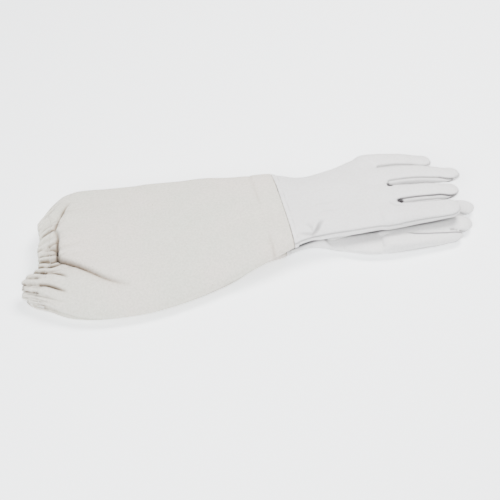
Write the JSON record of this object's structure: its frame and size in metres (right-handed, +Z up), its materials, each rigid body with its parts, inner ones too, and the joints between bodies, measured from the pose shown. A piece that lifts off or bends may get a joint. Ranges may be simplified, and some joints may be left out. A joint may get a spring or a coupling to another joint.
{
  "type": "beekeeping gloves",
  "caption": "Pair of long beekeeping gloves, white leather hands on cream canvas gauntlet sleeves with elastic cuffs, laid one on the other, palm to palm.",
  "frame": {"origin": "on the surface the pair lies on, under the middle of the pair's bounding box", "axes": "+X from the cuffs to the fingertips, +Y across towards the little fingers, +Z up"},
  "size_m": [0.518, 0.172, 0.0388],
  "materials": {
    "canvas": "matt plain-weave cotton canvas, cream",
    "leather": "soft fine-grained leather, white, slightly sheeny",
    "elastic": "woven elastic tape, off-white",
    "thread": "waxed sewing thread, natural"
  },
  "bodies": {
    "right_glove": {"right_canvas_sleeve": "canvas", "right_cuff_hem": "canvas", "right_cuff_elastic": "elastic", "right_wrist_facing": "canvas", "right_wrist_seam_thread": "thread", "right_hem_thread": "thread", "right_sleeve_seam_thread": "thread", "right_leather_back": "leather", "right_leather_palm": "leather", "right_fourchette_ring_little": "leather", "right_fourchette_middle_ring": "leather", "right_fourchette_index_middle": "leather", "right_back_seam_thread": "thread", "right_palm_seam_thread": "thread"},
    "right_thumb": {"right_thumb_outer": "leather", "right_thumb_inner": "leather", "right_thumb_seam_thread": "thread"},
    "left_sleeve": {"left_canvas_sleeve": "canvas", "left_cuff_hem": "canvas", "left_cuff_elastic": "elastic", "left_wrist_facing": "canvas", "left_wrist_seam_thread": "thread", "left_hem_thread": "thread", "left_sleeve_seam_thread": "thread"},
    "left_hand": {"left_leather_back": "leather", "left_leather_palm": "leather", "left_fourchette_ring_little": "leather", "left_fourchette_middle_ring": "leather", "left_fourchette_index_middle": "leather", "left_back_seam_thread": "thread", "left_palm_seam_thread": "thread"},
    "left_thumb": {"left_thumb_outer": "leather", "left_thumb_inner": "leather", "left_thumb_seam_thread": "thread"}
  },
  "joints": [
    {"name": "left_glove_lift", "type": "slide", "parent": "right_glove", "child": "left_sleeve", "axis": [0, 0, 1], "range_m": [0, 0.15]},
    {"name": "left_hand_fold", "type": "hinge", "parent": "left_sleeve", "child": "left_hand", "pos_m": [0.0391, 0.01, 0.0389], "axis": [0, -1, 0], "range_deg": [0, 150]},
    {"name": "left_thumb_swing", "type": "hinge", "parent": "left_hand", "child": "left_thumb", "pos_m": [0.092, -0.02, 0.0238], "axis": [0, 0, -1], "range_deg": [0, 60]},
    {"name": "right_thumb_swing", "type": "hinge", "parent": "right_glove", "child": "right_thumb", "pos_m": [0.088, -0.022, 0.015], "axis": [0, 0, -1], "range_deg": [0, 60]}
  ]
}
